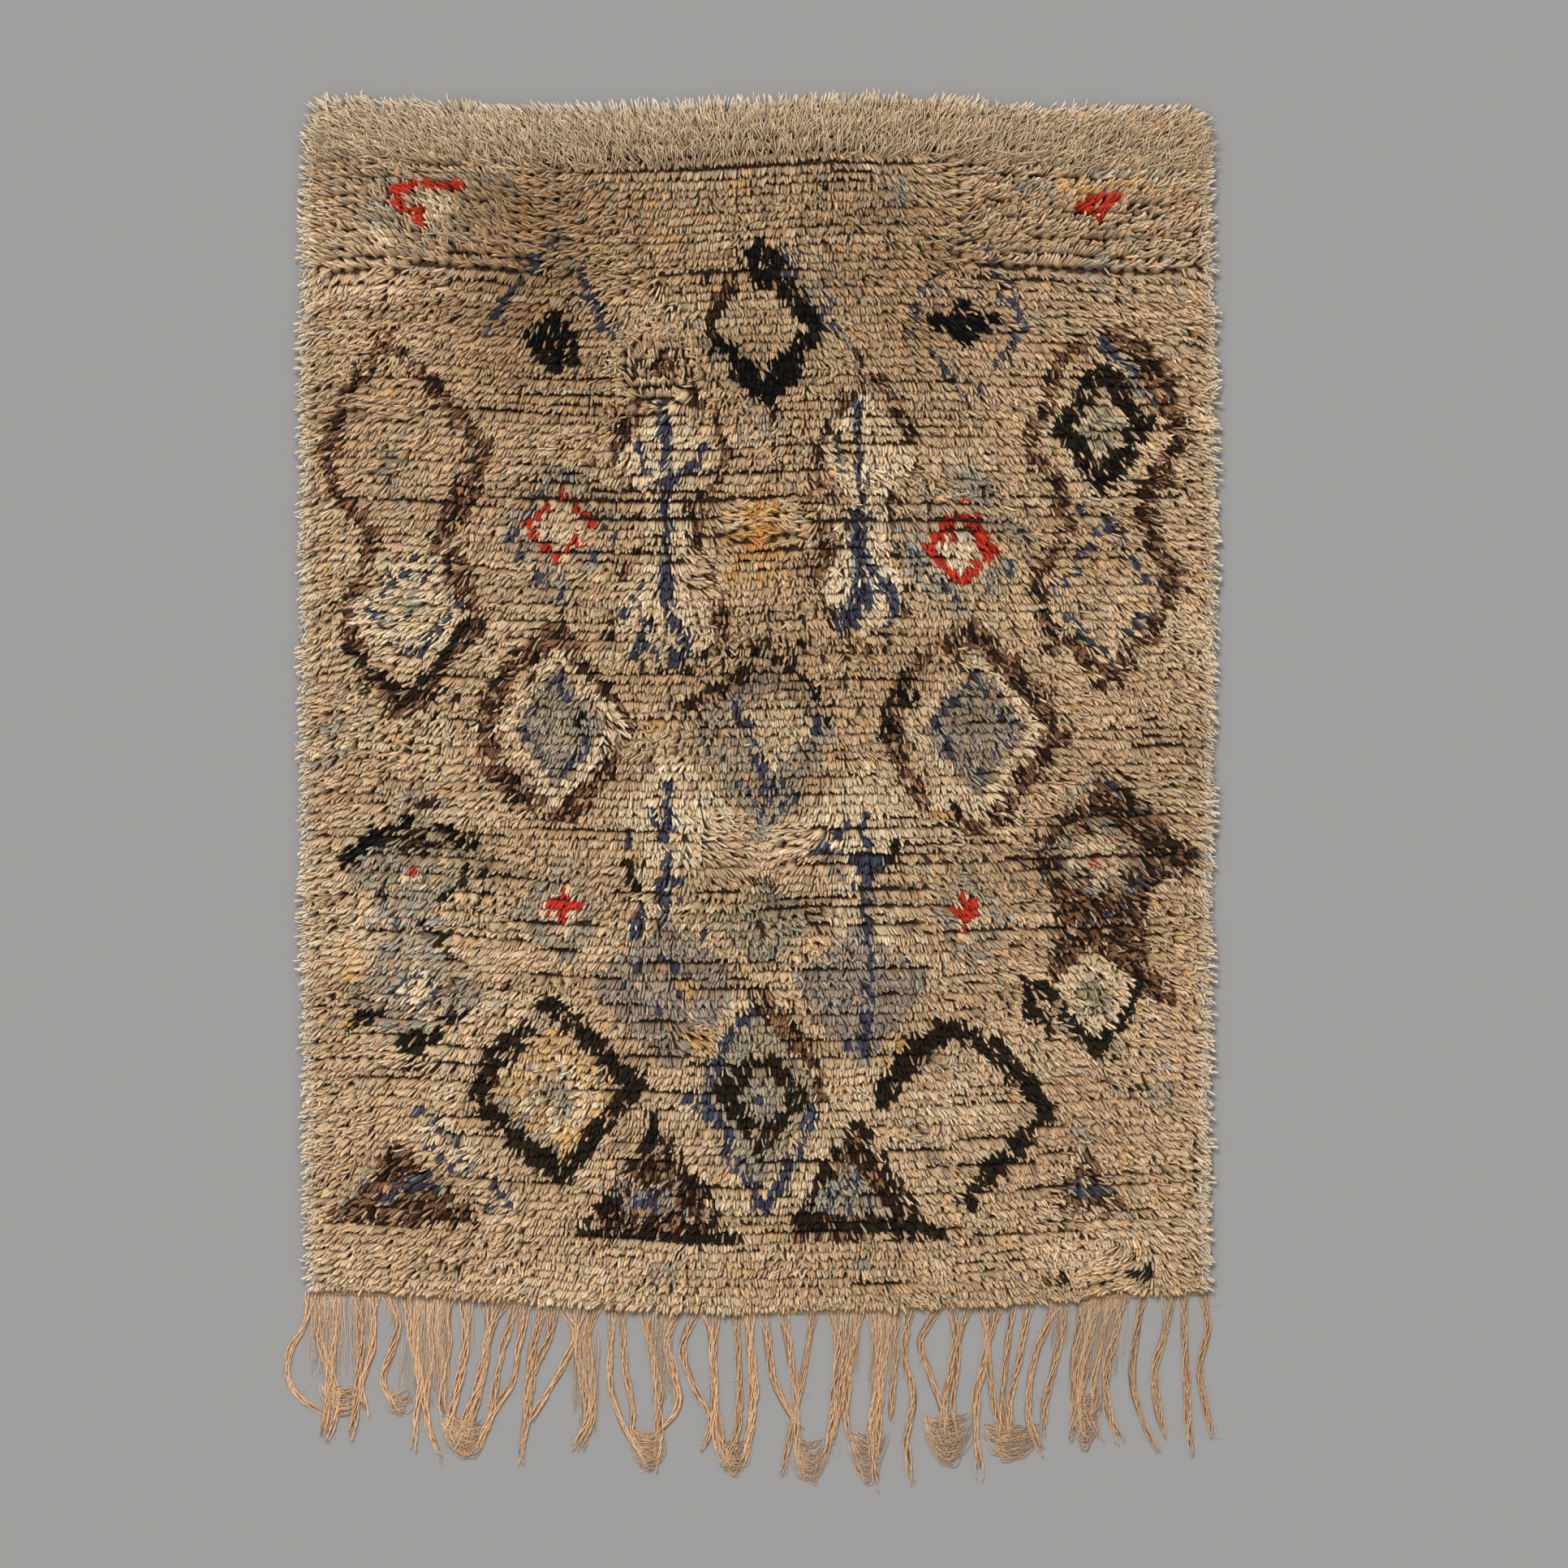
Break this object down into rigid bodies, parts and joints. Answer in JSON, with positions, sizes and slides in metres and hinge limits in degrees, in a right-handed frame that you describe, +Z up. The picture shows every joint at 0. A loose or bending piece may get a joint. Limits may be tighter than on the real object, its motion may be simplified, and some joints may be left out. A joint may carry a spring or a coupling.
{
  "type": "pile rug",
  "caption": "Hand-knotted shaggy wool rug, laid flat: a lumpy lozenge-patterned pile in rows, locks spilling over its sides, and a fringe of gathered warp ends at one end.",
  "frame": {"origin": "on the surface that the rug lies on, under the middle of the whole outline, fringe included", "axes": "+X across the rug to the right of its pattern, +Y along it from the fringe to the plain end, +Z up out of the pile"},
  "size_m": [1.5259, 2.2769, 0.0171],
  "materials": {
    "pile_wool": "matt, soft cut wool pile with a faint sheen",
    "fringe_yarn": "matt, loosely twisted wool warp yarn"
  },
  "bodies": {
    "root": {"pile": "pile_wool", "fringe": "fringe_yarn"}
  },
  "joints": []
}
